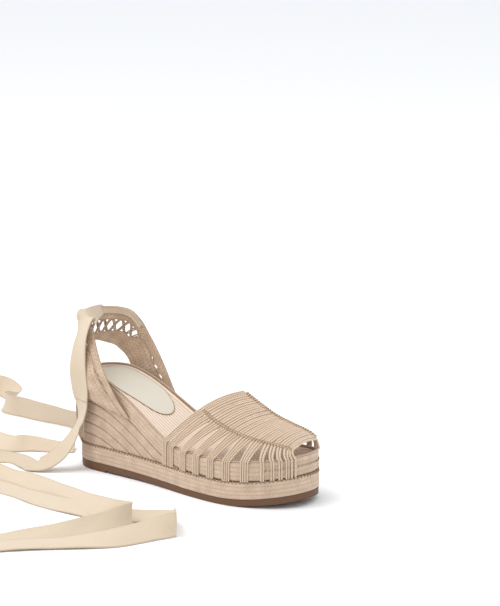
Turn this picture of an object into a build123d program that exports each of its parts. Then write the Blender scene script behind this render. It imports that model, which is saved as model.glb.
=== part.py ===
from build123d import *
import os

# Wedge sandal, right foot. Millimetres. +X points to the toe, +Y to the inner (medial) side
# of the foot and +Z up. The origin is on the ground, at the middle of the heel lift's face.

# Plan outline of the sole at the lower jute band: heel back, outer side, toe, inner side.
OUTLINE = [
    (-30, 0), (-21, -20.5), (5, -28.3), (50, -31), (95, -37.5), (140, -44.5),
    (175, -42.5), (201, -29), (213, -15), (217, 0), (213.5, 17), (202, 31.5),
    (174, 42), (138, 42.5), (95, 37.5), (52, 33.5), (5, 28.3), (-21, 20.5),
]
LATERAL = -1
MEDIAL = 1
TOE_TIP_X = 217
OUTLINE_SAMPLES = 36
ROUND_STEPS = 800
SOLE_LEAN = 0.02          # how far the sides lean in, per unit of height
SIDE_REACH = 80           # half width of the slabs that cut the layers

# Ground line: flat under the ball, rising to the heel lift and to the toe.
HEEL_LIFT = 2
LIFT_FRONT_X = 13
RISE_BACK_X = 15
FLAT_BACK_X = 110
FLAT_FRONT_X = 150
BEYOND_HEEL_X = -60
BEYOND_TOE_X = 228
TOE_RADIUS = 350

# Layer heights, measured up from the ground line.
OUTSOLE = 5.5
LOWER_BAND = 15
SEAM = OUTSOLE + LOWER_BAND

# Rim: the top edge of the upper jute band.
HEEL_RIM_Z = 86
BALL_RIM_Z = 37
SLOPE_BACK_X = -10
SLOPE_FRONT_X = 112
UPPER_BAND = 16
ROPE_ROWS = 5
ROPE_HEIGHT = 9.5
BAND_THICKNESS = 4
UPPER_INSET = 1.0
CORE_GAP = 0.1
STATION_STEP = 16

# Footbed stack, measured down from the rim.
CORE_DEPTH = 8
BOARD = 2
FOAM = 2.5
COVER = 1.3
SOCK_PAD = 1.0
PAD_FRONT = [
    (-40, -31), (12, -23.5), (41, -14), (56, -6.5), (60.5, 4), (56.5, 15), (44, 23), (12, 30),
    (-40, 33),
]
FOOTBED_INSET = UPPER_INSET + BAND_THICKNESS + 0.3
BINDING_HEIGHT = 1.6
BINDING_WIDTH = 2.2

# Corded vamp.
CORD_RADIUS = 0.9
SEAM_CORD_RADIUS = 1.3
EDGE_CORD_RADIUS = 1.1
CORD_PITCH = 2.1
CROWN_Y = 8
TOE_CROWN_Z = 60
THROAT_RISE = 23
TOE_CROWN_X = 207
CROWN_RUN = 80
CROWN_POWER = 1.6
SIDE_POWER = {LATERAL: 1.38, MEDIAL: 1.8}
SEAM_START_X = {LATERAL: 119, MEDIAL: 133}
SEAM_END_X = {LATERAL: 208, MEDIAL: 206}
BUNDLES = {
    LATERAL: [(97, 4), (113, 4), (129, 4), (146, 4), (163, 4), (180, 4),
              (194, 2), (201, 2), (206, 2), (210, 2)],
    MEDIAL: [(110, 4), (126, 4), (142, 4), (158, 4), (174, 4), (188, 4), (198, 2), (204, 2)],
}
THROAT_BASE_X = {LATERAL: 89, MEDIAL: 102}
TOE_BASE_X = {LATERAL: 213, MEDIAL: 209}
CENTRE_CORDS = 22
SEAM_CLEARANCE = SEAM_CORD_RADIUS + CORD_RADIUS
BORDER_CLEARANCE = 0.7

# Heel band: two tapes with a lattice between them, standing on the upper jute band.
BAND_INSET = 0.1
BAND_CLOTH = 1.8
BAND_SKEW = 0.12          # the inner leg stands further forward than the outer one
BAND_TOP_Z = 138.5
TAPE_WIDTH = 7.5
PIVOT = (8, 0, 98)
FOLD_RADIUS = 28
FOLD_GAP = 0.15
ANCHOR_BACK_X = -13

# Cotton tie.
TIE_WIDTH = 20
TIE_CLOTH = 1.0
TIE_FLOOR_GAP = 0.5
DROP_LOW_Z = 24
DROP_HIGH_Z = 104
LATERAL_DROP = (-17, -31.8)
MEDIAL_DROP = (-34, -4)

os.makedirs("parts", exist_ok=True)


def save(made, label):
    made.part.label = label
    export_step(made.part, f"parts/{label}.step")


# ---------------------------------------------------------------- side profile


def toe_spring(x):
    return max(0, x - FLAT_FRONT_X) ** 2 / (2 * TOE_RADIUS)


def ground(x):
    rise = min(1, max(0, (FLAT_BACK_X - x) / (FLAT_BACK_X - RISE_BACK_X)))
    return HEEL_LIFT * rise + toe_spring(x)


def rim(x):
    along = min(1, max(0, (x - SLOPE_BACK_X) / (SLOPE_FRONT_X - SLOPE_BACK_X)))
    smooth = along * along * (3 - 2 * along)
    return HEEL_RIM_Z + (BALL_RIM_Z - HEEL_RIM_Z) * smooth + toe_spring(x)


def ground_line(height):
    """Straight stretches under the heel and ball and an arc under the toe, raised by height."""
    flat = Polyline(
        (BEYOND_HEEL_X, HEEL_LIFT + height),
        (RISE_BACK_X, HEEL_LIFT + height),
        (FLAT_BACK_X, height),
        (FLAT_FRONT_X, height),
    )
    toe = TangentArc(flat @ 1, (BEYOND_TOE_X, toe_spring(BEYOND_TOE_X) + height), tangent=(1, 0))
    return flat @ 0, toe @ 1


def rim_line(depth):
    """The rim's curve, lowered by depth."""
    count = round((BEYOND_TOE_X - BEYOND_HEEL_X) / STATION_STEP)
    stations = [BEYOND_HEEL_X + STATION_STEP * i for i in range(count + 1)]
    curve = Spline(*[(x, rim(x) - depth) for x in stations])
    return curve @ 0, curve @ 1


def slab(low_line, low, high_line, high):
    """A wide slab between two side-view curves."""
    with BuildPart() as made:
        with BuildSketch(Plane.XZ):
            with BuildLine():
                low_start, low_end = low_line(low)
                high_start, high_end = high_line(high)
                Line(low_start, high_start)
                Line(low_end, high_end)
            make_face()
        extrude(amount=SIDE_REACH, both=True)
    return made.part


# ---------------------------------------------------------------- plan outline

with BuildLine() as plan:
    Spline(*OUTLINE, periodic=True)
EDGE = plan.edge()
TOE_AT = EDGE.param_at_point((TOE_TIP_X, 0))
ROUND = [EDGE.position_at(i / ROUND_STEPS) for i in range(ROUND_STEPS + 1)]


def outline_spot(along):
    """Point at a fraction of the way round the outline, read between close steps."""
    whole = min(int(along * ROUND_STEPS), ROUND_STEPS - 1)
    part = along * ROUND_STEPS - whole
    return ROUND[whole] + (ROUND[whole + 1] - ROUND[whole]) * part


def outline_at(along, inset):
    """Point of the outline moved inwards by inset."""
    way = EDGE.tangent_at(along)
    spot = outline_spot(along)
    return (spot.X - way.Y * inset, spot.Y + way.X * inset)


def outline_fraction(x, side):
    """Where one side of the outline reaches x."""
    low, high = (0, TOE_AT) if side == LATERAL else (1, TOE_AT)
    for _ in range(24):
        middle = (low + high) / 2
        if outline_spot(middle).X < x:
            low = middle
        else:
            high = middle
    return (low + high) / 2


def outline_y(x, side):
    return outline_spot(outline_fraction(x, side)).Y


def outline_loop(inset):
    return [outline_at(i / OUTLINE_SAMPLES, inset) for i in range(OUTLINE_SAMPLES)]


def lean(z):
    return SOLE_LEAN * (z - SEAM)


def column(inset, low=0, high=150):
    """The sole's outline as a tall solid whose sides lean in."""
    with BuildPart() as made:
        for height in (low, high):
            with BuildSketch(Plane.XY.offset(height)):
                with BuildLine():
                    Spline(*outline_loop(inset + lean(height)), periodic=True)
                make_face()
        loft()
    return made.part


def prism(inset):
    """The sole's outline as an upright solid."""
    with BuildPart() as made:
        with BuildSketch():
            with BuildLine():
                Spline(*outline_loop(inset), periodic=True)
            make_face()
        extrude(amount=SEAM + 30)
    return made.part


# ---------------------------------------------------------------- sole

with BuildPart() as outsole:
    add(prism(0))
    add(slab(ground_line, 0, ground_line, OUTSOLE), mode=Mode.INTERSECT)
save(outsole, "outsole")

with BuildPart() as heel_lift:
    with BuildSketch():
        with BuildLine():
            Spline(*outline_loop(0.4), periodic=True)
        make_face()
        with Locations((LIFT_FRONT_X, 0)):
            Rectangle(300, 200, align=(Align.MIN, Align.CENTER), mode=Mode.SUBTRACT)
    extrude(amount=HEEL_LIFT)
save(heel_lift, "heel_lift")

lower_layer = slab(ground_line, OUTSOLE, ground_line, SEAM)

with BuildPart() as platform_core:
    add(prism(BAND_THICKNESS + CORE_GAP))
    add(lower_layer, mode=Mode.INTERSECT)
save(platform_core, "platform_core")

with BuildPart() as lower_jute_band:
    add(prism(0))
    add(prism(BAND_THICKNESS), mode=Mode.SUBTRACT)
    add(lower_layer, mode=Mode.INTERSECT)
save(lower_jute_band, "lower_jute_band")

with BuildPart() as side_wall:
    add(column(UPPER_INSET))
    add(column(UPPER_INSET + BAND_THICKNESS), mode=Mode.SUBTRACT)

with BuildPart() as wedge_core:
    add(column(UPPER_INSET + BAND_THICKNESS + CORE_GAP))
    add(slab(ground_line, SEAM, ground_line, 90), mode=Mode.INTERSECT)
    add(slab(ground_line, -90, rim_line, CORE_DEPTH), mode=Mode.INTERSECT)
save(wedge_core, "wedge_core")

above_seam = slab(ground_line, SEAM, ground_line, 90)
for row in range(ROPE_ROWS):
    top = UPPER_BAND + ROPE_HEIGHT * row
    with BuildPart() as wedge_rope:
        add(side_wall.part)
        add(slab(rim_line, top + ROPE_HEIGHT, rim_line, top), mode=Mode.INTERSECT)
        add(above_seam, mode=Mode.INTERSECT)
    save(wedge_rope, f"wedge_rope_{row + 1}")

with BuildPart() as upper_jute_band:
    add(side_wall.part)
    add(slab(rim_line, UPPER_BAND, rim_line, 0), mode=Mode.INTERSECT)
save(upper_jute_band, "upper_jute_band")

with BuildPart() as rim_binding:
    add(column(UPPER_INSET + 0.8))
    add(column(UPPER_INSET + 0.8 + BINDING_WIDTH), mode=Mode.SUBTRACT)
    add(slab(rim_line, 0, rim_line, -BINDING_HEIGHT), mode=Mode.INTERSECT)
save(rim_binding, "rim_binding")

# Footbed: board, foam and woven cover, each filling the rim from side to side.
footbed_space = column(FOOTBED_INSET)
depth = CORE_DEPTH
for label, thickness in (("insole_board", BOARD), ("foam_layer", FOAM), ("footbed_cover", COVER)):
    with BuildPart() as layer:
        add(footbed_space)
        add(slab(rim_line, depth, rim_line, depth - thickness), mode=Mode.INTERSECT)
    save(layer, label)
    depth -= thickness

# Sock pad: as wide as the heel, narrowing to a round tongue towards the arch.
with BuildPart() as sock_pad:
    with BuildSketch():
        with BuildLine():
            Spline(*outline_loop(FOOTBED_INSET + 2.5), periodic=True)
        make_face()
        with BuildSketch(mode=Mode.PRIVATE) as tongue:
            with BuildLine():
                front = Spline(*PAD_FRONT)
                Line(front @ 1, front @ 0)
            make_face()
        add(tongue.sketch, mode=Mode.INTERSECT)
    extrude(amount=150)
    add(slab(rim_line, depth, rim_line, depth - SOCK_PAD), mode=Mode.INTERSECT)
save(sock_pad, "sock_pad")


# ---------------------------------------------------------------- corded vamp


def crown(x):
    """Height of the vamp along its ridge."""
    return TOE_CROWN_Z + THROAT_RISE * max(0, (TOE_CROWN_X - x) / CROWN_RUN) ** CROWN_POWER


def vamp_height(x, y):
    """Height of the vamp's surface above a point of the plan."""
    side = LATERAL if y < CROWN_Y else MEDIAL
    power = SIDE_POWER[side]
    out = min(1, abs(y - CROWN_Y) / abs(outline_y(x, side) - CROWN_Y))
    return rim(x) + (crown(x) - rim(x)) * (1 - out**power) ** (1 / power)


def seam_y(x, side):
    """Plan line of the two seams that join the vamp's centre to its sides."""
    return -24 + 0.0034 * (x - 155) ** 2 if side == LATERAL else 22


def through(first, second, third, last):
    """Control points of the cubic curve that passes through four evenly timed points."""
    second_control = (first * -5 + second * 18 - third * 9 + last * 2) / 6
    third_control = (first * 2 - second * 9 + third * 18 - last * 5) / 6
    return first, second_control, third_control, last


def side_curve(low, seam_x, side, clearance):
    """Control points of a side cord's path from the rim up to the seam."""
    power = SIDE_POWER[side]
    end_y = seam_y(seam_x, side) + side * clearance
    reach = (end_y - CROWN_Y) / (outline_y(seam_x, side) - CROWN_Y)
    last_turn = (1 - reach**power) ** 0.5
    spots = [low]
    for share in (1 / 3, 2 / 3, 1):
        out = (1 - (share * last_turn) ** 2) ** (1 / power)
        x = low.X + (seam_x - low.X) * share
        y = CROWN_Y + (outline_y(x, side) - CROWN_Y) * out
        spots.append(Vector(x, y, vamp_height(x, y)))
    return through(*spots)


def centre_curve(lateral_x, medial_x, clearance):
    """Control points of a centre cord's path over the ridge."""
    start = Vector(lateral_x, seam_y(lateral_x, LATERAL) + clearance)
    end = Vector(medial_x, seam_y(medial_x, MEDIAL) - clearance)
    spots = [start + (end - start) * share for share in (0, 1 / 3, 2 / 3, 1)]
    return through(*[Vector(spot.X, spot.Y, vamp_height(spot.X, spot.Y)) for spot in spots])


def seam_curve(side):
    """Control points of one seam's path along the foot."""
    start = SEAM_START_X[side]
    run = SEAM_END_X[side] - start
    stations = [start + run * share for share in (0, 1 / 3, 2 / 3, 1)]
    return through(*[Vector(x, seam_y(x, side), vamp_height(x, seam_y(x, side))) for x in stations])


def cord(controls, radius, foot=None):
    """A round cord along a cubic curve, with a straight lead up from its foot."""
    with BuildPart() as made:
        with BuildLine() as line:
            if foot:
                Line(foot, controls[0])
            Bezier(*controls)
        with BuildSketch(Plane(line.line @ 0, z_dir=line.line % 0)):
            Circle(radius)
        sweep()
    return made.part


def side_cord(fraction, seam_x, side, clearance, radius=CORD_RADIUS):
    """A cord that starts in the groove, runs up over the upper band and ends at the seam."""
    inset = UPPER_INSET - radius - 0.15
    foot = Vector(*outline_at(fraction, inset))
    foot.Z = ground(foot.X) + SEAM + 0.2 + radius
    edge_z = rim(foot.X) - 1
    low = Vector(*outline_at(fraction, inset + lean(edge_z)))
    low.Z = edge_z
    return cord(side_curve(low, seam_x, side, clearance), radius, foot)


def spaced(side, count, index):
    """Even spacing of the cords along one seam."""
    start = SEAM_START_X[side] + 2
    return start + (SEAM_END_X[side] - 2 - start) * index / (count - 1)


for side, label in ((LATERAL, "vamp_lateral_cords"), (MEDIAL, "vamp_medial_cords")):
    total = sum(count for _, count in BUNDLES[side])
    cords = []
    for bundle_x, count in BUNDLES[side]:
        for place in range(count):
            slide = (place - (count - 1) / 2) * CORD_PITCH / EDGE.length
            fraction = outline_fraction(bundle_x, side) - side * slide
            seam_x = spaced(side, total, len(cords))
            cords.append(side_cord(fraction, seam_x, side, SEAM_CLEARANCE))
    with BuildPart() as side_cords:
        add(cords)
    save(side_cords, label)

cords = []
for index in range(CENTRE_CORDS):
    across = [spaced(side, CENTRE_CORDS, index) for side in (LATERAL, MEDIAL)]
    cords.append(cord(centre_curve(*across, SEAM_CLEARANCE), CORD_RADIUS))
with BuildPart() as vamp_centre_cords:
    add(cords)
save(vamp_centre_cords, "vamp_centre_cords")

for side, label in ((LATERAL, "lateral_seam_cord"), (MEDIAL, "medial_seam_cord")):
    with BuildPart() as seam_cord:
        add(cord(seam_curve(side), SEAM_CORD_RADIUS))
    save(seam_cord, label)


def border_cord(base_x, seam_x):
    """The three lengths of cord that border the vamp: one up each side and one over the ridge."""
    over = centre_curve(seam_x[LATERAL], seam_x[MEDIAL], BORDER_CLEARANCE)
    pieces = [cord(over, EDGE_CORD_RADIUS)]
    for side in (LATERAL, MEDIAL):
        fraction = outline_fraction(base_x[side], side)
        pieces.append(
            side_cord(fraction, seam_x[side], side, BORDER_CLEARANCE, EDGE_CORD_RADIUS)
        )
    return pieces


with BuildPart() as throat_cord:
    add(border_cord(THROAT_BASE_X, {side: SEAM_START_X[side] - 3 for side in (LATERAL, MEDIAL)}))
save(throat_cord, "throat_cord")

with BuildPart() as toe_edge_cord:
    add(border_cord(TOE_BASE_X, {side: SEAM_END_X[side] + 3 for side in (LATERAL, MEDIAL)}))
save(toe_edge_cord, "toe_edge_cord")


# ---------------------------------------------------------------- heel band

with BuildPart() as band_wall:
    add(column(BAND_INSET - BAND_CLOTH))
    add(column(BAND_INSET), mode=Mode.SUBTRACT)


def band_side(shrink=0):
    """The heel band's side view, carried across on a skew so that both legs come out."""
    with BuildPart() as made:
        for side in (LATERAL, MEDIAL):
            middle = (side * BAND_SKEW * SIDE_REACH, side * SIDE_REACH, 0)
            with BuildSketch(Plane(origin=middle, x_dir=(1, 0, 0), z_dir=(0, -1, 0))):
                with BuildLine():
                    top = Line((BEYOND_HEEL_X, BAND_TOP_Z), (-22, BAND_TOP_Z))
                    front = Spline(
                        top @ 1, (2, 128.5), (10.5, 113), (24, 88), (36, 68), (49, 50),
                        tangents=[(1, 0), (1, -1.2)],
                    )
                    foot = Polyline(front @ 1, (49, 30), (-7, 30), (-7, 62))
                    back = Spline(foot @ 1, (-8, 75), (-13, 88), (-22, 101.5), (-36, 109))
                    Polyline(back @ 1, (BEYOND_HEEL_X, 109), top @ 0)
                make_face()
                if shrink:
                    offset(amount=-shrink, mode=Mode.REPLACE)
        loft()
    return made.part


with BuildPart() as band_shape:
    add(band_wall.part)
    add(band_side(), mode=Mode.INTERSECT)


def below_fold(radius):
    """Everything that stays on the sole: below the pivot and outside the fold's arc."""
    with BuildPart() as made:
        with Locations((8, 0, PIVOT[2])):
            Box(200, 200, 100, align=(Align.CENTER, Align.CENTER, Align.MAX))
        with Locations(PIVOT):
            Cylinder(radius, 300, rotation=(90, 0, 0), mode=Mode.SUBTRACT)
    return made.part


for side, label in ((LATERAL, "heel_band_lateral_anchor"), (MEDIAL, "heel_band_medial_anchor")):
    with BuildPart() as anchor:
        add(band_shape.part)
        add(below_fold(FOLD_RADIUS + FOLD_GAP), mode=Mode.INTERSECT)
        add(slab(rim_line, UPPER_BAND, rim_line, -60), mode=Mode.INTERSECT)
        with Locations((ANCHOR_BACK_X, side * 50, 60)):
            Box(200, 99, 200, align=(Align.MIN, Align.CENTER, Align.CENTER), mode=Mode.INTERSECT)
    save(anchor, label)

with BuildPart() as moving_band:
    add(band_shape.part)
    add(below_fold(FOLD_RADIUS - FOLD_GAP), mode=Mode.SUBTRACT)

with BuildPart() as tapes:
    add(moving_band.part)
    add(band_side(TAPE_WIDTH), mode=Mode.SUBTRACT)
upper_tape, lower_tape = tapes.part.solids().sort_by(Axis.Z, reverse=True)[:2]

with BuildPart() as heel_band_top_tape:
    add(upper_tape)
save(heel_band_top_tape, "heel_band_top_tape")

with BuildPart() as heel_band_bottom_tape:
    add(lower_tape)
save(heel_band_bottom_tape, "heel_band_bottom_tape")

with BuildPart() as heel_band_lattice:
    add(moving_band.part)
    add(band_side(TAPE_WIDTH + 0.2), mode=Mode.INTERSECT)
save(heel_band_lattice, "heel_band_lattice")

# The tie lies inside the top of the band, round the back of the heel.
with BuildPart() as tie_centre:
    add(column(BAND_INSET + 0.2))
    add(column(BAND_INSET + 0.2 + TIE_CLOTH), mode=Mode.SUBTRACT)
    add(band_side(1.5), mode=Mode.INTERSECT)
    with Locations((-8, 0, BAND_TOP_Z)):
        Box(60, 100, 2 * 14, mode=Mode.INTERSECT)
save(tie_centre, "tie_centre")

# Two loops carry it over the top edge and down the outside.
with BuildPart() as tie_loops:
    add(column(BAND_INSET - BAND_CLOTH - 0.2 - TIE_CLOTH))
    add(column(BAND_INSET - BAND_CLOTH - 0.2), mode=Mode.SUBTRACT)
    with BuildPart(mode=Mode.PRIVATE) as windows:
        with Locations((-20, -21, DROP_HIGH_Z + 18), (-26, 0, DROP_HIGH_Z + 18)):
            Box(28, 18, 34)
    add(windows.part, mode=Mode.INTERSECT)
save(tie_loops, "tie_loops")


# ---------------------------------------------------------------- tie

with BuildPart() as tie_lateral_drop:
    with BuildSketch(Plane.XY.offset(DROP_LOW_Z)):
        with Locations(LATERAL_DROP):
            Rectangle(TIE_WIDTH, TIE_CLOTH)
    extrude(amount=DROP_HIGH_Z - DROP_LOW_Z)
save(tie_lateral_drop, "tie_lateral_drop")

with BuildPart() as tie_medial_drop:
    with BuildSketch(Plane.XY.offset(DROP_LOW_Z)):
        with Locations(MEDIAL_DROP):
            Rectangle(TIE_CLOTH, TIE_WIDTH)
    extrude(amount=DROP_HIGH_Z - DROP_LOW_Z)
save(tie_medial_drop, "tie_medial_drop")


def tie_run(label, path):
    """A tie end that stands on its edge along a line on the floor."""
    with BuildPart() as run:
        with BuildSketch(Plane.XY.offset(TIE_FLOOR_GAP)):
            with BuildLine() as line:
                Spline(*path)
            trace(line.line, TIE_CLOTH)
        extrude(amount=TIE_WIDTH)
    save(run, label)


tie_run("tie_lateral_run", [
    (-19, -37), (-24, -52), (-34, -63), (-58, -60), (-84, -61), (-98, -82), (-76, -108),
    (-24, -124), (25, -139), (80, -146), (133, -133), (146, -146), (121, -200), (97, -248),
    (76, -290), (96, -304), (121, -262), (160, -205), (196, -150), (188, -122), (161, -105),
    (143, -117),
])
tie_run("tie_medial_run", [
    (-36, -2), (-42, 25), (-56, 50), (-85, 68), (-119, 78), (-166, 79), (-212, 80),
    (-250, 116), (-280, 126), (-298, 96), (-260, 40), (-190, -6), (-115, -29), (-89, -17),
    (-67, 1),
])
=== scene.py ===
"""Visual model of the wedge sandal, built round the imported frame. Lengths are in millimetres
until a mesh is written, in metres."""

import math

import bpy
import numpy as np
from mathutils import Matrix, Vector


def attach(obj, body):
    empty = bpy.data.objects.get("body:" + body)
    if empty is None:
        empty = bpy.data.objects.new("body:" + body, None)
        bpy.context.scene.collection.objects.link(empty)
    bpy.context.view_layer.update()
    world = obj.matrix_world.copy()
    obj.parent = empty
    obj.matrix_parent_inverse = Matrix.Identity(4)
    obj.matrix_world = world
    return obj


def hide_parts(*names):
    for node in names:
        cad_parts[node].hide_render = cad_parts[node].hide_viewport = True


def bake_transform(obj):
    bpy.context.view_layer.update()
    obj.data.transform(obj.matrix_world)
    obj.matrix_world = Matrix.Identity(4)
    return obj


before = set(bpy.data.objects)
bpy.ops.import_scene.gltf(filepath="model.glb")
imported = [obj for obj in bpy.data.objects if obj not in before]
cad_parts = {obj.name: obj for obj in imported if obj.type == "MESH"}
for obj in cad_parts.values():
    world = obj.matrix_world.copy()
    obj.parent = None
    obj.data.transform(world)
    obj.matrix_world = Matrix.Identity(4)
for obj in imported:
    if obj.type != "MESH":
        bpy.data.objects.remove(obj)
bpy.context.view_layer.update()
rng = np.random.default_rng(11)

MM = 0.001
LATERAL = -1
MEDIAL = 1


# ------------------------------------------------------------ sole shape, as in the CAD

OUTLINE = np.array([
    (-30, 0), (-21, -20.5), (5, -28.3), (50, -31), (95, -37.5), (140, -44.5),
    (175, -42.5), (201, -29), (213, -15), (217, 0), (213.5, 17), (202, 31.5),
    (174, 42), (138, 42.5), (95, 37.5), (52, 33.5), (5, 28.3), (-21, 20.5),
], float)
OUTLINE_STEPS = 2400
SEAM = 20.5             # height of the groove between the two jute bands
LEAN = 0.02             # how much the walls draw in per millimetre of height
OUTSOLE = 5.5
UPPER_BAND = 16
UPPER_INSET = 1.0
ROPE_HEIGHT = 9.5
ROPE_ROWS = 5
HEEL_RIM_Z = 86
RIM_DROP = 49           # from the heel's rim down to the ball's
SLOPE_BACK_X = -10
SLOPE_LENGTH = 122
HEEL_PITCH = 2          # how far the sole's underside rises towards the heel lift
ARCH_FRONT_X = 110
ARCH_LENGTH = 95
TOE_SPRING_X = 150
TOE_SPRING_CURVE = 700


def periodic_spline(points, count):
    """Smooth closed curve through points, resampled at even arc length."""
    n = len(points)
    step = np.linalg.norm(np.roll(points, -1, 0) - points, axis=1)
    system = np.zeros((n, n))
    right = np.zeros((n, 2))
    for i in range(n):
        before, after = step[i - 1], step[i]
        system[i, i - 1] += before
        system[i, i] += 2 * (before + after)
        system[i, (i + 1) % n] += after
        rise = (points[(i + 1) % n] - points[i]) / after
        fall = (points[i] - points[i - 1]) / before
        right[i] = 6 * (rise - fall)
    bend = np.linalg.solve(system, right)
    rows = []
    for i in range(n):
        j = (i + 1) % n
        h = step[i]
        t = np.linspace(0, h, 60, endpoint=False)[:, None]
        rows.append(
            bend[i] * (h - t) ** 3 / (6 * h) + bend[j] * t**3 / (6 * h)
            + (points[i] / h - bend[i] * h / 6) * (h - t) + (points[j] / h - bend[j] * h / 6) * t
        )
    dense = np.vstack(rows + [points[:1]])
    length = np.r_[0, np.cumsum(np.linalg.norm(np.diff(dense, axis=0), axis=1))]
    even = np.linspace(0, length[-1], count + 1)
    return np.column_stack([np.interp(even, length, dense[:, k]) for k in (0, 1)]), length[-1]


ROUND, PERIMETER = periodic_spline(OUTLINE, OUTLINE_STEPS)
WAY = np.gradient(ROUND, axis=0)
WAY[0] = WAY[-1] = ROUND[1] - ROUND[-2]
WAY /= np.linalg.norm(WAY, axis=1)[:, None]
TOE_STEP = int(np.argmax(ROUND[:, 0]))


def outline(s, inset):
    """Plan points at arc lengths s from the heel back, outer side first, moved inwards."""
    at = np.mod(s, PERIMETER) / PERIMETER * (len(ROUND) - 1)
    grid = np.arange(len(ROUND))
    x, y, wx, wy = (np.interp(at, grid, c) for c in (*ROUND.T, *WAY.T))
    return x - wy * inset, y + wx * inset


def arc_at(x, side):
    """Arc length at which one side of the outline reaches x; the inner side counts down."""
    if side == LATERAL:
        steps = np.interp(x, ROUND[: TOE_STEP + 1, 0], np.arange(TOE_STEP + 1))
        return steps * PERIMETER / OUTLINE_STEPS
    half = ROUND[TOE_STEP:, 0][::-1]
    return -np.interp(x, half, np.arange(len(half))) * PERIMETER / OUTLINE_STEPS


def side_y(x, side):
    return outline(arc_at(x, side), 0)[1]


def toe_spring(x):
    return np.maximum(0, np.asarray(x, float) - TOE_SPRING_X) ** 2 / TOE_SPRING_CURVE


def ground(x):
    """Height of the sole's underside above the floor, without the heel lift."""
    back = np.clip((ARCH_FRONT_X - np.asarray(x, float)) / ARCH_LENGTH, 0, 1)
    return HEEL_PITCH * back + toe_spring(x)


def rim(x):
    """Height of the sole's upper edge."""
    along = np.clip((np.asarray(x, float) - SLOPE_BACK_X) / SLOPE_LENGTH, 0, 1)
    return HEEL_RIM_Z - RIM_DROP * along * along * (3 - 2 * along) + toe_spring(x)


def lean(z):
    """How far the walls have drawn in at height z."""
    return LEAN * (z - SEAM)


# ------------------------------------------------------------ mesh building


class Piece:
    """Grids of points gathered into one mesh, with a map in millimetres and a relief value:
    painted shade, low in hollows and grooves.
    """

    def __init__(self):
        self.points, self.faces, self.maps, self.relief, self.count = [], [], [], [], 0

    def grid(self, points, wrap=False, loop=False, caps=False, relief=None, uv=None):
        """points is rows by columns; wrap joins the last column to the first, loop the rows."""
        rows, cols = points.shape[:2]
        self.points.append(points.reshape(-1, 3))
        r = np.arange(rows if loop else rows - 1)
        c = np.arange(cols if wrap else cols - 1)
        i, j = np.meshgrid(r, c, indexing="ij")
        i2, j2 = (i + 1) % rows, (j + 1) % cols
        quads = np.stack([i * cols + j, i2 * cols + j, i2 * cols + j2, i * cols + j2], -1)
        self.faces += (quads.reshape(-1, 4) + self.count).tolist()
        if caps:
            first = self.count + np.arange(cols)
            self.faces += [first.tolist(), (first + (rows - 1) * cols)[::-1].tolist()]
        if uv is None:
            run = np.linalg.norm(np.diff(points, axis=0, prepend=points[:1]), axis=2).cumsum(0)
            across = np.linalg.norm(np.diff(points, axis=1, prepend=points[:, :1]), axis=2)
            uv = np.stack([run.mean(1, keepdims=True) + 0 * run, across.cumsum(1)], -1)
        self.maps.append(uv.reshape(-1, 2))
        self.relief.append(np.ones(rows * cols) if relief is None else relief.reshape(-1))
        self.count += rows * cols
        return self

    def build(self, name, material, body=None, replaces=()):
        mesh = bpy.data.meshes.new(name)
        mesh.from_pydata((np.vstack(self.points) * MM).tolist(), [], self.faces)
        uv = mesh.uv_layers.new(name="UVMap")
        index = np.zeros(len(mesh.loops), np.int32)
        mesh.loops.foreach_get("vertex_index", index)
        uv.data.foreach_set("uv", (np.vstack(self.maps)[index] * 0.1).astype(np.float32).ravel())
        mark = mesh.attributes.new("relief", "FLOAT", "POINT")
        mark.data.foreach_set("value", np.concatenate(self.relief).astype(np.float32))
        mesh.polygons.foreach_set("use_smooth", np.ones(len(mesh.polygons), bool))
        mesh.materials.append(material)
        mesh.update()
        piece = bpy.data.objects.new(name, mesh)
        bpy.context.scene.collection.objects.link(piece)
        if body:
            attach(piece, body)
        if replaces:
            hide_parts(*replaces)
        return piece


def smooth(points, step):
    """Catmull-Rom curve through points of any width, resampled at an even step."""
    p = np.asarray(points, float)
    p = np.vstack([2 * p[0] - p[1], p, 2 * p[-1] - p[-2]])
    t = np.linspace(0, 1, 24, endpoint=False)[:, None]
    rows = []
    for a, b, c, d in zip(p, p[1:], p[2:], p[3:]):
        rows.append(0.5 * (2 * b + (c - a) * t + (2 * a - 5 * b + 4 * c - d) * t**2
                           + (3 * b - a - 3 * c + d) * t**3))
    dense = np.vstack(rows + [p[-2:-1]])
    length = np.r_[0, np.cumsum(np.linalg.norm(np.diff(dense[:, :3], axis=0), axis=1))]
    even = np.linspace(0, length[-1], max(3, int(length[-1] / step) + 1))
    return np.column_stack([np.interp(even, length, dense[:, k]) for k in range(dense.shape[1])])


def unit(v):
    return v / np.maximum(np.linalg.norm(v, axis=-1, keepdims=True), 1e-9)


def rope(piece, path, radius, strands=2, pitch=4.0, ring=10, groove=0.22, swell=None):
    """A tube of twisted strands along a path of even steps."""
    way = unit(np.gradient(path, axis=0))
    side = np.cross(way[0], (0.3, 0.9, 0.2))
    frames = []
    for w in way:
        side = unit(side - w * (side @ w))
        frames.append(side)
    side = np.array(frames)
    other = np.cross(way, side)
    run = np.r_[0, np.cumsum(np.linalg.norm(np.diff(path, axis=0), axis=1))]
    angle = np.linspace(0, 2 * np.pi, ring, endpoint=False)[None, :]
    lobe = np.abs(np.cos(strands / 2 * (angle - 2 * np.pi * run[:, None] / pitch)))
    size = radius * (1 - groove + groove * lobe)
    if swell is not None:
        size = size * swell(run)[:, None]
    points = path[:, None] + size[..., None] * (
        np.cos(angle)[..., None] * side[:, None] + np.sin(angle)[..., None] * other[:, None]
    )
    # The grooves between the strands carry painted shade.
    piece.grid(points, wrap=True, caps=True, relief=lobe)


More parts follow.
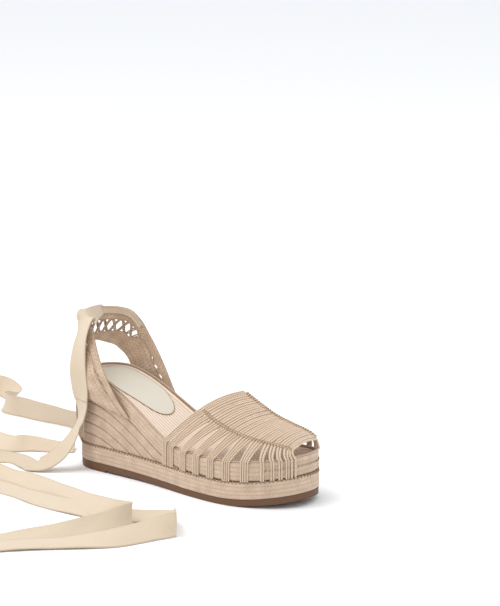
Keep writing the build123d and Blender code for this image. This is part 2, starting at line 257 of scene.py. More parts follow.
def chevron(run, across, rows, pitch):
    """Height of a flat braid, 0 to 1: rows of plaited strands that slope to and fro."""
    place = np.clip(across, 0, 0.9999) * rows
    within = (place % 1) * 2 - 1
    number = np.floor(place)
    drift = 0.35 * np.sin(run / 17 + 2.3 * number) + 0.2 * np.sin(run / 5.3 + 4.1 * number)
    stripe = (run / pitch + drift + 0.42 * np.abs(within) + 0.5 * (within > 0) + 0.37 * number) % 1
    strand = np.sqrt(np.maximum(0, 1 - (2 * stripe - 1) ** 2))
    uneven = 0.78 + 0.22 * np.sin(run / 3.1 + 5.7 * number) * np.sin(run / 7.7 + number)
    return uneven * strand * (1 - np.abs(within) ** 5) ** 0.5


# ------------------------------------------------------------ materials


# Places of the colour sockets on a mix node.
MIX_COLOUR_A = 6
MIX_COLOUR_B = 7
MIX_COLOUR_RESULT = 2
WAVE_UNIT = 6.28 / 2    # a wave texture's scale is the count of threads over this


def node(tree, kind, **inputs):
    made = tree.nodes.new(kind)
    for key, value in inputs.items():
        if key in made.inputs:
            made.inputs[key].default_value = value
        else:
            setattr(made, key, value)
    return made


def colour(r, g, b):
    """An sRGB colour of 0 to 255 values, as linear light."""
    return tuple(((c / 255 + 0.055) / 1.055) ** 2.4 for c in (r, g, b)) + (1,)


def set_range(mapping, low, high, darkest):
    """Spreads noise between low and high over shades from darkest to 1."""
    for key, value in (("From Min", low), ("From Max", high), ("To Min", darkest), ("To Max", 1)):
        mapping.inputs[key].default_value = value


def cloth(name, light, dark, scale=900, bump=0.35, rough=0.9, mottle=0.5, weave=None, sheen=0.25):
    """Fibre material: dark colour painted into the hollows by relief as painted shade, with soft
    mottling and fine flecks, and a fibrous bump.
    weave is (threads along, threads across, depth) per centimetre of the piece's map."""
    material = bpy.data.materials.new(name)
    material.use_nodes = True
    tree = material.node_tree
    link = tree.links.new
    shader = tree.nodes["Principled BSDF"]
    shader.inputs["Roughness"].default_value = rough
    shader.inputs["Sheen Weight"].default_value = sheen
    shader.inputs["Specular IOR Level"].default_value = 0.25
    place = node(tree, "ShaderNodeTexCoord")
    broad = node(tree, "ShaderNodeTexNoise", Scale=scale * 0.12, Detail=5.0)
    fine = node(tree, "ShaderNodeTexNoise", Scale=scale, Detail=6.0, Roughness=0.65)
    link(place.outputs["Object"], broad.inputs["Vector"])
    link(place.outputs["Object"], fine.inputs["Vector"])
    relief = node(tree, "ShaderNodeAttribute", attribute_name="relief")
    blotch = node(tree, "ShaderNodeMapRange")
    link(broad.outputs["Fac"], blotch.inputs["Value"])
    set_range(blotch, 0.35, 0.65, 1 - mottle / 2)
    fleck = node(tree, "ShaderNodeMapRange")
    link(fine.outputs["Fac"], fleck.inputs["Value"])
    set_range(fleck, 0.3, 0.7, 1 - mottle)
    tone = node(tree, "ShaderNodeMath", operation="MULTIPLY")
    link(blotch.outputs["Result"], tone.inputs[0])
    link(fleck.outputs["Result"], tone.inputs[1])
    # Mottle times relief: the dark colour shows as painted shade in hollows and grooves, and as
    # random blotches and flecks.
    depth = node(tree, "ShaderNodeMath", operation="MULTIPLY")
    link(tone.outputs[0], depth.inputs[0])
    link(relief.outputs["Fac"], depth.inputs[1])
    mix = node(tree, "ShaderNodeMix", data_type="RGBA")
    mix.inputs[MIX_COLOUR_A].default_value = dark
    mix.inputs[MIX_COLOUR_B].default_value = light
    link(depth.outputs[0], mix.inputs["Factor"])
    link(mix.outputs[MIX_COLOUR_RESULT], shader.inputs["Base Color"])
    height = fine.outputs["Fac"]
    if weave:
        along, across, strength = weave
        waves = []
        for axis, count in (("X", along), ("Y", across)):
            wave = node(tree, "ShaderNodeTexWave", bands_direction=axis, Scale=count / WAVE_UNIT)
            link(place.outputs["UV"], wave.inputs["Vector"])
            waves.append(wave.outputs["Fac"])
        cross = node(tree, "ShaderNodeMath", operation="MULTIPLY")
        link(waves[0], cross.inputs[0])
        link(waves[1], cross.inputs[1])
        both = node(tree, "ShaderNodeMath", operation="MULTIPLY_ADD")
        link(cross.outputs[0], both.inputs[0])
        both.inputs[1].default_value = strength
        link(fine.outputs["Fac"], both.inputs[2])
        height = both.outputs[0]
    lift = node(tree, "ShaderNodeBump", Strength=bump, Distance=0.0004)
    link(height, lift.inputs["Height"])
    link(lift.outputs["Normal"], shader.inputs["Normal"])
    return material


JUTE = cloth("jute", colour(232, 208, 184), colour(128, 98, 74), bump=0.8, mottle=0.34)
ROPE = cloth("jute_rope", colour(230, 204, 180), colour(122, 92, 70), bump=0.8, mottle=0.36)
CORD = cloth("cord", colour(245, 224, 200), colour(150, 118, 92), scale=1300, bump=0.4, mottle=0.2)
SEAM_CORD = cloth("seam_cord", colour(225, 198, 168), colour(120, 92, 68), scale=1300, bump=0.5,
                  mottle=0.3)
BAND = cloth("band_weave", colour(236, 210, 184), colour(132, 102, 78), bump=0.6, mottle=0.3)
FOOTBED = cloth("footbed_weave", colour(246, 227, 208), colour(178, 150, 126), scale=1200,
                bump=0.35, mottle=0.14, weave=(14, 22, 1.2))
SOCK = cloth("sock_lining", colour(214, 207, 191), colour(190, 180, 162), scale=2400, bump=0.12,
             rough=0.6, mottle=0.1, sheen=0.1)
TIE = cloth("tie_cotton", colour(217, 198, 173), colour(184, 163, 136), scale=700, bump=0.3,
            rough=0.75, mottle=0.1, weave=(30, 18, 2.0), sheen=0.35)
THREAD = cloth("stitch_thread", colour(196, 164, 130), colour(110, 82, 58), bump=0.3)
RUBBER = cloth("outsole_rubber", colour(172, 130, 104), colour(108, 78, 58), scale=1400,
               bump=0.15, rough=0.55, mottle=0.35, sheen=0.0)


# ------------------------------------------------------------ sole

for name in ("outsole", "heel_lift"):
    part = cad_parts[name]
    part.data.materials.clear()
    part.data.materials.append(RUBBER)
for name in ("platform_core", "wedge_core", "foam_layer", "insole_board"):
    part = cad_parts[name]
    part.data.materials.clear()
    part.data.materials.append(SOCK)


ROLL = 0.7              # how far a band's face swells out between its edges


def wall(s, low, high, inset, height, cols, back=3.2):
    """A band on the sole's side: outer face raised by height(run, across, z), then its back."""
    across = np.linspace(0, 1, cols)[None, :]
    z = low[:, None] + (high - low)[:, None] * across
    raised = height(s[:, None] + 0 * z, across + 0 * z, z)
    roll = ROLL * (1 - np.abs(2 * across - 1) ** 6)
    x, y = outline(s[:, None] + 0 * z, inset + ROLL + lean(z) - roll - raised[0])
    face = np.stack([x, y, z], -1)
    xb, yb = outline(s[:, None] + 0 * z[:, :2], inset + back + lean(z[:, :2]))
    rear = np.stack([xb, yb, np.stack([high, low], 1)], -1)
    # The face's hollows carry painted shade, and the back a fixed painted shade.
    relief = np.hstack([raised[1], np.full((len(s), 2), 0.3)])
    return np.concatenate([face, rear], 1), relief


SHADE = 0.55            # how light the hollows of a braid stay


def braided(rows, pitch, depth):
    def height(run, across, z):
        h = chevron(run, across, rows, pitch)
        return depth * h, SHADE + (1 - SHADE) * h
    return height


def ring_steps(step):
    return np.linspace(0, PERIMETER, int(PERIMETER / step), endpoint=False)


s = ring_steps(0.45)
x, _ = outline(s, 0)
points, relief = wall(s, ground(x) + OUTSOLE + 0.1, ground(x) + SEAM - 0.3, 0.0,
                      braided(4, 2.6, 0.4), 33)
Piece().grid(points, wrap=True, loop=True, relief=relief).build(
    "lower_band", JUTE, "sole", ["lower_jute_band"])

x, _ = outline(s, 1)
points, relief = wall(s, rim(x) - UPPER_BAND + 0.3, rim(x) - 0.1, UPPER_INSET,
                      braided(4, 2.6, 0.4), 33, back=2.4)
Piece().grid(points, wrap=True, loop=True, relief=relief).build(
    "upper_band", JUTE, "sole", ["upper_jute_band"])

# Rope rows of the wedge: each is as long as the part of it that shows above the lower band.
for row in range(ROPE_ROWS):
    top = UPPER_BAND + ROPE_HEIGHT * row
    arc = np.arange(-PERIMETER / 2, PERIMETER / 2, 0.5)
    x, _ = outline(arc, 1)
    seam = ground(x) + SEAM
    arc = arc[rim(x) - top > seam + 0.8]
    x, _ = outline(arc, 1)
    high = rim(x) - top - 0.15
    low = np.maximum(ground(x) + SEAM + 0.1, high - ROPE_HEIGHT + 0.3)

    def plait(run, across, z, high=high):
        down = (high[:, None] - z) / ROPE_HEIGHT
        h = chevron(run, down, 2, 3.0)
        return 0.45 * h, SHADE + (1 - SHADE) * h

    points, relief = wall(arc, low, high, UPPER_INSET, plait, 21)
    Piece().grid(points, wrap=True, caps=True, relief=relief).build(
        f"wedge_rope_row_{row + 1}", ROPE, "sole", [f"wedge_rope_{row + 1}"])

# Thin cord along the rim.
s = ring_steps(0.5)
x, _ = outline(s, 2)
z = rim(x) + 0.7
x, y = outline(s, UPPER_INSET + 1.3 + lean(z))
binding = Piece()
rope(binding, np.column_stack([x, y, z]), 1.0, strands=2, pitch=3.6)
binding.build("rim_cord", ROPE, "sole", ["rim_binding"])

# Stitches that hold the two bands together: short slanting threads over the groove.
STITCH_PITCH = 3.6
TOE_ROW_X = 196
TOE_ROW_DROP = 7
stitches = Piece()
for place in np.arange(0, PERIMETER, STITCH_PITCH)[1:]:
    x0, y0 = outline(place, 0.1)
    x1, y1 = outline(place + 1.3, 0.4)
    z0 = float(ground(x0)) + SEAM
    path = smooth([(x0, y0, z0 - 1.3), (x0 * 0.5 + x1 * 0.5, y0 * 0.5 + y1 * 0.5, z0 - 0.1),
                   (x1, y1, z0 + 1.1)], 0.5)
    out = np.array(outline(place, -1)) - np.array(outline(place, 0))
    path[:, :2] += out * 0.35
    rope(stitches, path, 0.5, ring=6)
# A second, short row runs round the toe, in the middle of the upper band.
toe_row = arc_at(TOE_ROW_X, LATERAL), PERIMETER + arc_at(TOE_ROW_X, MEDIAL)
for place in np.arange(*toe_row, STITCH_PITCH):
    ends = []
    for step, up in ((0, -0.7), (1.6, 0.7)):
        x0, y0 = (float(v) for v in outline(place + step, -0.1))
        ends.append((x0, y0, float(rim(x0)) - TOE_ROW_DROP + up))
    rope(stitches, smooth([ends[0], np.mean(ends, 0), ends[1]], 0.5), 0.45, ring=6)
stitches.build("sole_stitches", THREAD, "sole")


# ------------------------------------------------------------ footbed


def span(x, inset):
    """Outer and inner y of the outline moved inwards, at stations x."""
    s = np.linspace(0, PERIMETER, 1200)
    px, py = outline(s, inset)
    toe = int(np.argmax(px))
    near = np.interp(x, px[: toe + 1], py[: toe + 1])
    far = np.interp(x, px[toe:][::-1], py[toe:][::-1])
    return near, far


COVER_DEPTH = 2.4       # below the rim
COVER_THICK = 1.2
RIBS = 17


def cover_height(x, share):
    """Footbed surface: dished a little, and turned up where it meets the rim."""
    edge = np.abs(2 * share - 1)
    return rim(x) - COVER_DEPTH + 1.9 * edge**10 + 0.5 * edge**2


inset = UPPER_INSET + 3.5
ends = outline(np.array([0.0]), inset)[0][0] + 0.02, ROUND[:, 0].max() - inset - 0.02
bow = (1 - np.cos(np.linspace(0, np.pi, 420))) / 2
x = ends[0] + (ends[1] - ends[0]) * bow
near, far = span(x, inset)
share = (1 - np.cos(np.linspace(0, np.pi, 221)))[None, :] / 2
share = 0.5 * share + 0.5 * np.linspace(0, 1, 221)[None, :]
y = near[:, None] + (far - near)[:, None] * share
rib = np.abs(np.sin(np.pi * RIBS * share)) ** 0.6
z = cover_height(x[:, None], share) + 0.55 * rib - 0.4
top = np.stack([x[:, None] + 0 * y, y, z], -1)
rear = top.copy()
rear[..., 2] -= COVER_THICK
# The furrows between the ribs carry painted shade.
relief = np.broadcast_to(0.15 + 0.85 * rib, y.shape)
cover = Piece()
cover.grid(np.concatenate([top, rear[:, ::-1]], 1), wrap=True, caps=True,
           relief=np.concatenate([relief, relief[:, ::-1]], 1))
cover.build("footbed", FOOTBED, "sole", ["footbed_cover"])

# Sock pad: a tongue with a rolled edge, lying on the ribs.
PAD_MARGIN = 3.0
front = smooth([(-27, -22), (12, -23.5), (41, -14), (56, -6.5), (60.5, 4), (56.5, 15), (44, 23),
                (12, 27), (-27, 22)], 0.8)
near, far = span(front[:, 0], inset + PAD_MARGIN)
front[:, 1] = np.clip(front[:, 1], near, far)
heel = np.column_stack(outline(np.linspace(14, -14, 60), inset + PAD_MARGIN))
front = front[front[:, 0] > heel[:, 0].max()]
ring = np.vstack([front, heel[::-1]])
middle = np.array([16.0, 2.0])
rings = []
for scale, lift in ((0.02, 1.5), (0.3, 1.5), (0.6, 1.45), (0.85, 1.4), (0.95, 1.35), (0.975, 1.2),
                    (0.99, 0.9), (0.99, 0.2)):
    loop = middle + (ring - middle) * scale
    near, far = span(loop[:, 0], inset)
    share = (loop[:, 1] - near) / (far - near)
    rings.append(np.column_stack([loop, cover_height(loop[:, 0], share) + lift - 0.35]))
pad = Piece()
pad.grid(np.array(rings)[::-1], wrap=True, caps=True)
pad.build("sock_lining", SOCK, "sole", ["sock_pad"])
# A thin dark cord along the pad's front edge: partly its edge thread, partly painted shadow of the
# gap under the rolled edge.
edge = Piece()
rope(edge, smooth(rings[-2][: len(front)][::3], 0.6), 0.4, ring=6)
edge.build("sock_edge_dark_line", THREAD, "sole")


# ------------------------------------------------------------ corded vamp

CROWN_Y = 8
POWER = {LATERAL: 1.38, MEDIAL: 1.8}
SEAM_START = {LATERAL: 119, MEDIAL: 133}
SEAM_END = {LATERAL: 208, MEDIAL: 206}
SIDE_CORD_RADIUS = 0.84
CENTRE_CORD_RADIUS = 1.22
CENTRE_CORDS = 32
CORD_PITCH = 2.0
MIDDLE_RISE = 2.6       # how far the centre cords bulge above a straight line
CROWN_FRONT_X = 207
# Where each bundle leaves the groove, and how many cords it has.
BUNDLES = {
    LATERAL: [(96, 4), (112, 4), (129, 4), (146, 4), (163, 4), (180, 4),
              (194, 2), (201, 2), (206, 2), (210, 2)],
    MEDIAL: [(110, 4), (126, 4), (142, 4), (158, 4), (174, 4), (188, 4), (198, 2), (204, 2)],
}


def crown(x):
    """Height of the ridge."""
    return 60 + 23 * max(0, (CROWN_FRONT_X - x) / 80) ** 1.6


def vamp_height(x, y):
    """Height of the dome that the cords lie on."""
    side = LATERAL if y < CROWN_Y else MEDIAL
    out = min(1, abs(y - CROWN_Y) / abs(side_y(x, side) - CROWN_Y))
    return float(rim(x) + (crown(x) - rim(x)) * (1 - out ** POWER[side]) ** (1 / POWER[side]))


def seam_height(x, side):
    """Height of the seams, which rise a little at the inner end of the throat."""
    rise = 4 * max(0, 1 - (x - 133) / 30) if side == MEDIAL else 0
    return vamp_height(x, seam_y(x, side)) + rise


def seam_y(x, side):
    return -24 + 0.0034 * (x - 155) ** 2 if side == LATERAL else 22.0


def side_path(arc, seam_x, side, inset=0.1):
    """From the groove, up over the upper band, to the seam."""
    x, y = (float(v) for v in outline(arc, inset))
    edge = float(rim(x))
    low = float(ground(x)) + SEAM + 0.2
    x1, y1 = (float(v) for v in outline(arc, inset + lean(edge)))
    path = [(x, y, low), (x, y, low + 0.4 * (edge - low)), (x1, y1, edge - 0.6)]
    end_y = seam_y(seam_x, side)
    reach = (end_y - CROWN_Y) / (side_y(seam_x, side) - CROWN_Y)
    last = (1 - reach ** POWER[side]) ** 0.5
    for share in np.linspace(0.2, 1, 6):
        out = (1 - (share * last) ** 2) ** (1 / POWER[side])
        px = x + (seam_x - x) * share**1.35
        py = CROWN_Y + (side_y(px, side) - CROWN_Y) * out
        rise = seam_height(seam_x, side) - vamp_height(seam_x, end_y)
        path.append((px, py, vamp_height(px, py) + rise * share**2))
    return path


def centre_path(near_x, far_x):
    """From the outer seam, over the ridge, to the inner seam."""
    path = []
    start, end = seam_y(near_x, LATERAL), seam_y(far_x, MEDIAL)
    for share in np.linspace(0, 1, 8):
        x = near_x + (far_x - near_x) * share
        y = start + (end - start) * share
        level = seam_height(near_x, LATERAL) * (1 - share) + seam_height(far_x, MEDIAL) * share
        path.append((x, y, level + MIDDLE_RISE * 4 * share * (1 - share)))
    return path


def spaced(side, count, index):
    """Where cord number index of count meets the seam."""
    start = SEAM_START[side] + 1.5
    return start + (SEAM_END[side] - 1 - start) * index / (count - 1)


for side, label in ((LATERAL, "vamp_lateral_cords"), (MEDIAL, "vamp_medial_cords")):
    total = sum(count for _, count in BUNDLES[side])
    cords = Piece()
    made = 0
    for bundle_x, count in BUNDLES[side]:
        for place in range(count):
            arc = arc_at(bundle_x, side) - side * (place - (count - 1) / 2) * CORD_PITCH
            seam_x = spaced(side, total, made) + rng.normal(0, 0.2)
            path = smooth(side_path(arc, seam_x, side), 0.6)
            length = 0.6 * len(path)
            rope(cords, path, SIDE_CORD_RADIUS * rng.uniform(0.93, 1.05), pitch=3.0,
                 swell=lambda run, length=length: 1 + 0.5 * np.clip(run / length, 0, 1) ** 2)
            made += 1
    cords.build(label + "_twisted", CORD, "sole", [label])

cords = Piece()
for index in range(CENTRE_CORDS):
    near_x, far_x = (spaced(side, CENTRE_CORDS, index) + rng.normal(0, 0.25)
                     for side in (LATERAL, MEDIAL))
    path = smooth(centre_path(near_x, far_x), 0.6)
    rope(cords, path, CENTRE_CORD_RADIUS * rng.uniform(0.93, 1.07), pitch=3.6)
cords.build("vamp_centre_cords_twisted", CORD, "sole", ["vamp_centre_cords"])

# Seam cords: a core with a second cord wound round it.
SEAM_STEP = 0.4
WRAP_PITCH = 2.7
for side, label in ((LATERAL, "lateral_seam_cord"), (MEDIAL, "medial_seam_cord")):
    stations = np.linspace(SEAM_START[side] - 1, SEAM_END[side] + 1, 14)
    path = smooth([(x, seam_y(x, side), seam_height(x, side) + 0.7) for x in stations],
                  SEAM_STEP)
    seam_piece = Piece()
    rope(seam_piece, path, 1.25, pitch=5)
    way = unit(np.gradient(path, axis=0))
    across = unit(np.cross(way, (0, 0, 1)))
    above = np.cross(across, way)
    turn = 2 * np.pi * np.arange(len(path)) * SEAM_STEP / WRAP_PITCH
    wrap = path + 1.35 * (np.cos(turn)[:, None] * across + np.sin(turn)[:, None] * above)
    rope(seam_piece, smooth(wrap, 0.45), 0.62, ring=8)
    seam_piece.build(label + "_wrapped", SEAM_CORD, "sole", [label])


def border(base_x, seam_x, count, spacing, radius, name, replaced, inner_inset=-0.1):
    """Parallel cords that edge the vamp from side to side, over the ridge."""
    piece = Piece()
    for number in range(count):
        shift = number * spacing
        outer = side_path(arc_at(base_x[LATERAL] + shift, LATERAL), seam_x[LATERAL] + shift,
                          LATERAL, -0.1)
        over = centre_path(seam_x[LATERAL] + shift, seam_x[MEDIAL] + shift)
        inner = side_path(arc_at(base_x[MEDIAL] + shift, MEDIAL), seam_x[MEDIAL] + shift,
                          MEDIAL, inner_inset)
        rope(piece, smooth(outer + over[1:-1] + inner[::-1], 0.6), radius, pitch=3.6)
    piece.build(name, CORD, "sole", [replaced])


border({LATERAL: 86.5, MEDIAL: 100}, {LATERAL: 114.5, MEDIAL: 128.5}, 3, 1.9, 0.9,
       "throat_cords", "throat_cord")
border({LATERAL: 212, MEDIAL: 208}, {LATERAL: 208.5, MEDIAL: 206.5}, 2, 1.6, 1.05,
       "toe_edge_cords", "toe_edge_cord", inner_inset=1.4)


# ------------------------------------------------------------ heel band

BAND_INSET = 0.1
SKEW = 0.12             # the outer leg stands further back than the inner one
SKEW_REACH = 28
BOW = 6.0               # how far the legs bow out at mid height
BOW_LOW_Z = 56
BOW_HEIGHT = 78
LOBE = 7.6              # half a wave of the crossed cords
# Side-view places of the front (top) edge and the back (lower) edge, from groove to heel back.
FRONT_EDGE = [(47, 53), (36, 68), (24, 88), (10.5, 113), (2, 128.5), (-11, 137)]
BACK_EDGE = [(-7, 66), (-8, 75), (-11, 84), (-15, 92), (-19.5, 98), (-25, 103.5)]
TOP_BACK_Z = 138.5
LOW_BACK_Z = 109.5


def band_stations():
    """Arc and height on the front edge, then on the back edge, from one foot to the other."""
    rows = []
    for side in (LATERAL, MEDIAL):
        half = []
        for (fx, fz), (bx, bz) in zip(FRONT_EDGE, BACK_EDGE):
            place = []
            for px, pz in ((fx, fz), (bx, bz)):
                px += SKEW * side * SKEW_REACH
                place += [float(arc_at(px, side)), pz]
            half.append(place)
        rows.append(half)
    return np.array(rows[0] + [[0, TOP_BACK_Z, 0, LOW_BACK_Z]] + rows[1][::-1])


def band_curve(step):
    """Front-edge and back-edge places (arc, z) at even steps along the band."""
    stations = band_stations()
    # The leading zeros keep the steps even along the front edge alone.
    dense = smooth(np.column_stack([np.zeros(len(stations)), stations]), 0.05)[:, 1:]
    mid = (dense[:, :2] + dense[:, 2:]) / 2
    run = np.r_[0, np.cumsum(np.linalg.norm(np.diff(mid, axis=0), axis=1))]
    even = np.linspace(0, run[-1], int(run[-1] / step) + 1)
    return even, np.column_stack([np.interp(even, run, dense[:, k]) for k in range(4)])


BAND_RUN, BAND_EDGES = band_curve(0.5)
BAND_LENGTH = BAND_RUN[-1]
WIDTH = np.hypot(BAND_EDGES[:, 0] - BAND_EDGES[:, 2], BAND_EDGES[:, 1] - BAND_EDGES[:, 3])


def ease(value):
    value = np.clip(value, 0, 1)
    return value * value * (3 - 2 * value)


# The lattice is open round the heel, closed beside it, and has small holes low on the legs.
ASIDE = np.abs(2 * BAND_RUN / BAND_LENGTH - 1)
OPEN = ease((0.52 - ASIDE) / 0.16)
LOW_HOLES = ease((ASIDE - 0.6) / 0.08) * ease((0.88 - ASIDE) / 0.06)
TAPE = 8.5 + 4.5 * OPEN
LATTICE = 0.4 + 10.6 * OPEN + 2.4 * LOW_HOLES


def band_points(run, distance, out):
    """Places on the band: run along it, distance from its front edge, raised outwards."""
    edges = [np.interp(run, BAND_RUN, BAND_EDGES[:, k]) for k in range(4)]
    share = distance / np.interp(run, BAND_RUN, WIDTH)
    arc = edges[0] + (edges[2] - edges[0]) * share
    z = edges[1] + (edges[3] - edges[1]) * share
    height = np.clip((z - BOW_LOW_Z) / BOW_HEIGHT, 0, 1)
    bow = BOW * ease((np.abs(arc) - 14) / 22) * np.sin(np.pi * height)
    x, y = outline(arc, BAND_INSET + lean(z) - out - bow)
    return np.stack([x, y, z], -1)


def strip(run, first, last, cols, rows, pitch, depth, thickness=1.3, base=0.2):
    """A braided strip of the band between two distances from its front edge."""
    across = np.linspace(0, 1, cols)[None, :]
    distance = first[:, None] + (last - first)[:, None] * across
    r = run[:, None] + 0 * distance
    h = chevron(r, across + 0 * r, rows, pitch)
    edge = 0.5 * np.abs(2 * across - 1) ** 8
    outer = band_points(r, distance, base + thickness - edge + depth * h)
    inner = band_points(r, distance, base + edge - depth * h * 0.6)
    points = np.concatenate([outer, inner[:, ::-1]], 1)
    # Painted shade in the hollows of the braid.
    relief = 0.25 + 0.75 * np.concatenate([h, h[:, ::-1]], 1)
    return points, relief


run = np.arange(0, BAND_LENGTH, 0.5)


def at(values):
    """Values given along the whole band, at the strips' own steps."""
    return np.interp(run, BAND_RUN, values)


piece = Piece()
points, relief = strip(run, 0 * run, at(TAPE), 15, 3, 3.0, 0.35)
piece.grid(points, wrap=True, caps=True, relief=relief)
top_tape = piece.build("heel_band_front_tape", BAND)

piece = Piece()
points, relief = strip(run, at(TAPE + LATTICE), at(WIDTH), 25, 5, 3.2, 0.4)
piece.grid(points, wrap=True, caps=True, relief=relief)
low_tape = piece.build("heel_band_back_tape", BAND)

lattice = Piece()
for phase in (0, 1):
    for thread in (-0.7, 0.7):
        turn = np.pi * run / LOBE + np.pi * phase
        middle = at(TAPE + LATTICE / 2)
        swing = at(LATTICE) / 2 + 0.5
        path = band_points(run + thread, middle + swing * np.sin(turn), 0.85 + 0.75 * np.cos(turn))
        rope(lattice, smooth(path[::2], 0.7), 0.75, pitch=3.2, ring=8)
lattice_piece = lattice.build("heel_band_crossed_cords", SEAM_CORD)

# The band's lower ends are sewn to the sole; here the pieces are baked in place and the CAD parts
# they stand for are hidden.
for piece, replaced in (
    (top_tape, ["heel_band_top_tape", "heel_band_lateral_anchor", "heel_band_medial_anchor"]),
    (low_tape, ["heel_band_bottom_tape"]),
    (lattice_piece, ["heel_band_lattice"]),
):
    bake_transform(piece)
    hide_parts(*replaced)


# ------------------------------------------------------------ tie

TIE_WIDTH = 20
TIE_THICK = 0.55
TIE_SPLIT_Z = 62        # the hanging part ends and the loose end starts here
HEM_FROM = 0.86         # the hem's start, as a share of half the width


def ribbon(samples, name):
    """A flat tape along samples of (x, y, z, width direction, share of full width)."""
    path, wide, share = samples[:, :3], unit(samples[:, 3:6]), samples[:, 6]
    way = unit(np.gradient(path, axis=0))
    wide = unit(wide - way * np.sum(wide * way, 1, keepdims=True))
    up = np.cross(way, wide)
    across = np.linspace(-1, 1, 13)[None, :]
    run = np.r_[0, np.cumsum(np.linalg.norm(np.diff(path, axis=0), axis=1))][:, None]
    ripple = 0.35 * np.sin(run / 9 + 2.1 * across) * across + 0.25 * np.sin(run / 23 + 1.3)
    hem = 0.14 * (np.abs(across) > HEM_FROM)
    reach = across * share[:, None] * TIE_WIDTH / 2
    centre = path[:, None] + wide[:, None] * reach[..., None]
    centre = centre + up[:, None] * (ripple + 0.5 * (1 - across**2))[..., None]
    centre[..., 2] = np.maximum(centre[..., 2], TIE_THICK)
    half = up[:, None] * (TIE_THICK / 2 + hem + 0 * ripple)[..., None]
    points = np.concatenate([centre + half, (centre - half)[:, ::-1]], 1)
    shade = np.broadcast_to(1 - 0.25 * (np.abs(across) > HEM_FROM), ripple.shape)
    span_mm = np.broadcast_to(across * TIE_WIDTH / 2, ripple.shape)
    uv = np.stack([np.hstack([run + 0 * ripple] * 2), np.hstack([span_mm, span_mm[:, ::-1]])], -1)
    piece = Piece()
    piece.grid(points, wrap=True, caps=True, uv=uv,
               relief=np.concatenate([shade, shade[:, ::-1]], 1))
    return piece.build(name, TIE)


def floor_rows(places):
    """Rows for a tape on the floor, from where its lower edge lies: x, y, how far the tape leans
    to the left of its run, in degrees from upright, and how high the edge is off the floor."""
    flat = np.array([p[:2] for p in places], float)
    way = unit(np.gradient(flat, axis=0))
    rows = []
    for (x, y, tilt, lift), (wx, wy) in zip(places, way):
        a = math.radians(tilt)
        rise = np.array([-wy * math.sin(a), wx * math.sin(a), math.cos(a)])
        middle = np.array([x, y, 0.7 + lift]) + rise * TIE_WIDTH / 2
        rows.append((*middle, *rise, 1.0))
    return rows


def tie(start, places, names):
    """The hanging part, which follows the band at its top, and the part on the floor."""
    samples = smooth(start + floor_rows(places), 1.2)
    split = int(np.argmax(samples[:, 2] < TIE_SPLIT_Z))
    top = ribbon(samples[: split + 1], names[0])
    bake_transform(top)
    end = ribbon(samples[split:], names[1])
    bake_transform(end)
    return top, end


# Rows of a hanging part: middle x, y, z, the direction of its upper edge, share of full width.
lateral_top, lateral_end = tie(
    [
        (-25, 14, 135.5, -0.25, -0.1, 0.95, 0.35), (-23, 8, 136, -0.25, -0.1, 0.95, 0.5),
        (-18, -6, 135.5, -0.3, -0.1, 0.95, 0.7), (-12, -19, 135.5, -0.6, -0.1, 0.75, 0.85),
        (-9, -27, 138, -0.9, 0.2, 0.4, 0.9), (-8, -31.5, 133, -0.95, 0.3, 0.2, 0.95),
        (-9, -33.5, 121, -0.89, 0.45, 0.1, 1), (-12, -33.5, 105, -0.97, 0.24, 0, 1),
        (-14, -33, 88, -1, 0.05, 0, 1), (-13.5, -32, 73, -1, 0.08, 0, 1),
        (-13, -31, 61, -0.96, 0.29, 0, 1), (-14, -30, 50, -0.85, 0.52, 0, 1),
        (-17, -29.5, 40, -0.76, 0.65, 0, 1), (-19, -33, 32, -0.84, 0.54, 0.02, 1),
        (-21, -39, 24, -0.85, 0.5, 0.2, 1), (-24, -45.5, 16.5, -0.75, 0.5, 0.4, 1),
        (-28.5, -51.5, 10.5, -0.6, 0.6, 0.45, 1), (-34.5, -56.5, 6.5, -0.35, 0.75, 0.45, 1),
        (-42, -59.5, 4.5, -0.1, 0.9, 0.35, 1),
    ],
    [
        (-50, -67, -78, 0), (-60, -63, -84, 0), (-73, -58, -80, 0),
        (-84, -64, -70, 0), (-100, -84, -30, 0), (-84, -108, 20, 0), (-30, -120, 54, 0),
        (-2, -122, 54, 0), (18, -125, 54, 0), (40, -131, 54, 0), (66, -139, 52, 1),
        (90, -145, 50, 1.5), (118, -149, 40, 1), (138, -147, 25, 0), (147, -145, 0, 0),
        (149, -150, -15, 0), (147, -163, -42, 0), (143, -181, -52, 0), (136, -205, -58, 0),
        (120, -232, -70, 0), (104, -258, -78, 0), (84, -288, -70, 0), (94, -302, 0, 0),
        (112, -275, 78, 1), (134, -247, 82, 1), (154, -227, 80, 1), (170, -210, 66, 0),
        (180, -196, 57, 0), (186, -178, 54, 0), (190, -162, 46, 0), (194, -150, 20, 0),
        (194, -145, 0, 0), (186, -142, -12, 0), (173, -137, -32, 0), (158, -130, -62, 0),
        (146, -130, -76, 0), (132, -141, -72, 0), (110, -149, -64, 0), (84, -150, -66, 0),
        (56, -150, -72, 0), (33, -147, -76, 0), (9, -141, -80, 0), (-12, -139, -80, 0),
        (-40, -136, -80, 0),
    ],
    ("tie_lateral_hanging", "tie_lateral_floor"))
